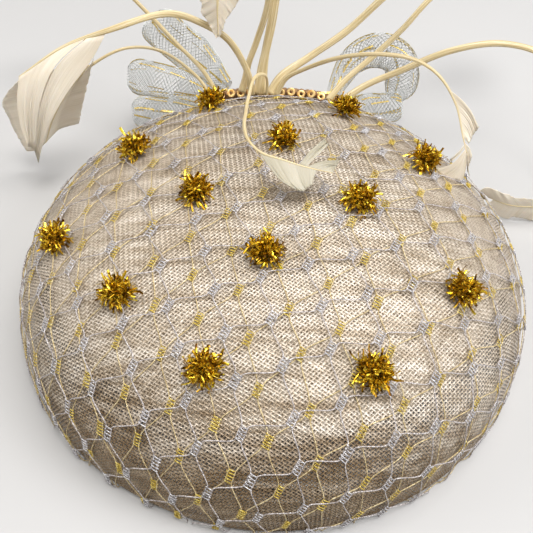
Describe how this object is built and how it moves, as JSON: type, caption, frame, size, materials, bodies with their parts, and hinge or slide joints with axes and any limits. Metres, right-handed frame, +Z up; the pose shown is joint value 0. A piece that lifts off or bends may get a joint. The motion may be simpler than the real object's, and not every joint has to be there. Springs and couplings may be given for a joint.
{
  "type": "fascinator headpiece",
  "caption": "Round domed fascinator of sinamay under silver and gold veiling, with tinsel pompoms, curled trimmed feathers, crin loops, a comb and a sprung hair clip.",
  "frame": {"origin": "centre of the head opening, in the plane of the rim", "axes": "+Z up through the crown, -Y to the front of the hat, +Y to the feathers at the back, +X to the right seen from the front camera side"},
  "size_m": [0.2338, 0.2121, 0.1087],
  "materials": {
    "sinamay": "open plain weave of stiffened abaca, on the bias",
    "buckram": "stiff pale woven foundation",
    "ribbon": "ribbed ribbon",
    "silver_veiling": "netting of silver lurex thread",
    "gold_veiling": "netting of gold lurex thread",
    "tinsel": "metallic tinsel strips",
    "feather": "natural feather, trimmed",
    "crin": "translucent open mesh with gold lurex",
    "braid": "brown braid",
    "wire": "plain steel wire",
    "comb_plastic": "clear-cream moulded plastic",
    "clip_steel": "nickel-plated pressed steel"
  },
  "bodies": {
    "root": {"veil_silver": "silver_veiling", "veil_gold": "gold_veiling", "sinamay_cover": "sinamay", "crown_form": "buckram", "rim_binding": "ribbon", "rim_wire": "wire", "inner_ribbon": "ribbon", "pompom_01": "tinsel", "pompom_02": "tinsel", "pompom_03": "tinsel", "pompom_04": "tinsel", "pompom_05": "tinsel", "pompom_06": "tinsel", "pompom_07": "tinsel", "pompom_08": "tinsel", "pompom_09": "tinsel", "pompom_10": "tinsel", "pompom_11": "tinsel", "pompom_12": "tinsel", "pompom_13": "tinsel", "quill_pad": "braid", "feather_01": "feather", "feather_02": "feather", "feather_03": "feather", "feather_04": "feather", "feather_05": "feather", "feather_06": "feather", "feather_07": "feather", "feather_08": "feather", "feather_09": "feather", "feather_10": "feather", "crin_loop_upper": "crin", "crin_loop_middle": "crin", "crin_loop_lower": "crin", "crin_ring": "crin", "crin_ring_fold": "crin", "hair_comb": "comb_plastic", "clip_base": "clip_steel", "clip_pin": "clip_steel", "clip_spring": "clip_steel"},
    "clip_lever": {"clip_lever": "clip_steel"}
  },
  "joints": [
    {"name": "clip_hinge", "type": "hinge", "parent": "root", "child": "clip_lever", "pos_m": [0.008, 0.0708, 0.007], "axis": [0, 0, 1], "range_deg": [0, 28], "stiffness_Nm_per_rad": 0.03, "springref_deg": -22.92}
  ]
}
